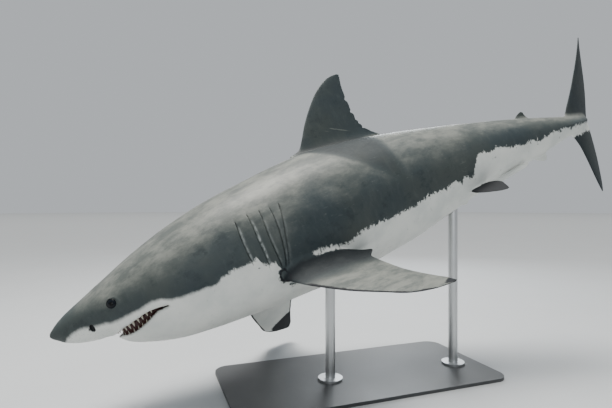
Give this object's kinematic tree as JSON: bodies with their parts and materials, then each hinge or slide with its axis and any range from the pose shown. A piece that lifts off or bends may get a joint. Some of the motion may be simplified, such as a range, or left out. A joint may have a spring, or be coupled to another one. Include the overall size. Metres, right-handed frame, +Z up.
{
  "type": "great white shark",
  "caption": "Life-size great white shark swimming nose down with its tail swept aside, fins spread and mouth just open, held on rods above a flat base plate.",
  "frame": {"origin": "centre of the base plate's underside, on the floor", "axes": "+Z up; +X tailward along the body, so the snout points to -X; +Y to the shark's right"},
  "size_m": [3.7283, 1.8018, 2.4264],
  "materials": {
    "dark_skin": "satin",
    "pale_skin": "satin",
    "eye": "gloss",
    "plate_paint": "satin",
    "rod_steel": "brushed"
  },
  "bodies": {
    "root": {"head": "dark_skin", "gill_region": "dark_skin", "trunk_front": "dark_skin", "trunk_rear": "dark_skin", "tail_stem": "dark_skin", "first_dorsal_fin": "dark_skin", "second_dorsal_fin": "dark_skin", "anal_fin": "dark_skin", "caudal_fin_upper": "dark_skin", "caudal_fin_lower": "dark_skin", "pectoral_fin_left": "dark_skin", "pectoral_fin_right": "dark_skin", "pelvic_fin_left": "dark_skin", "pelvic_fin_right": "dark_skin", "lower_jaw": "pale_skin", "clasper_left": "pale_skin", "clasper_right": "pale_skin", "eye_left": "eye", "eye_right": "eye", "stand_base": "plate_paint", "stand_rod_front": "rod_steel", "stand_rod_rear": "rod_steel"}
  },
  "joints": []
}
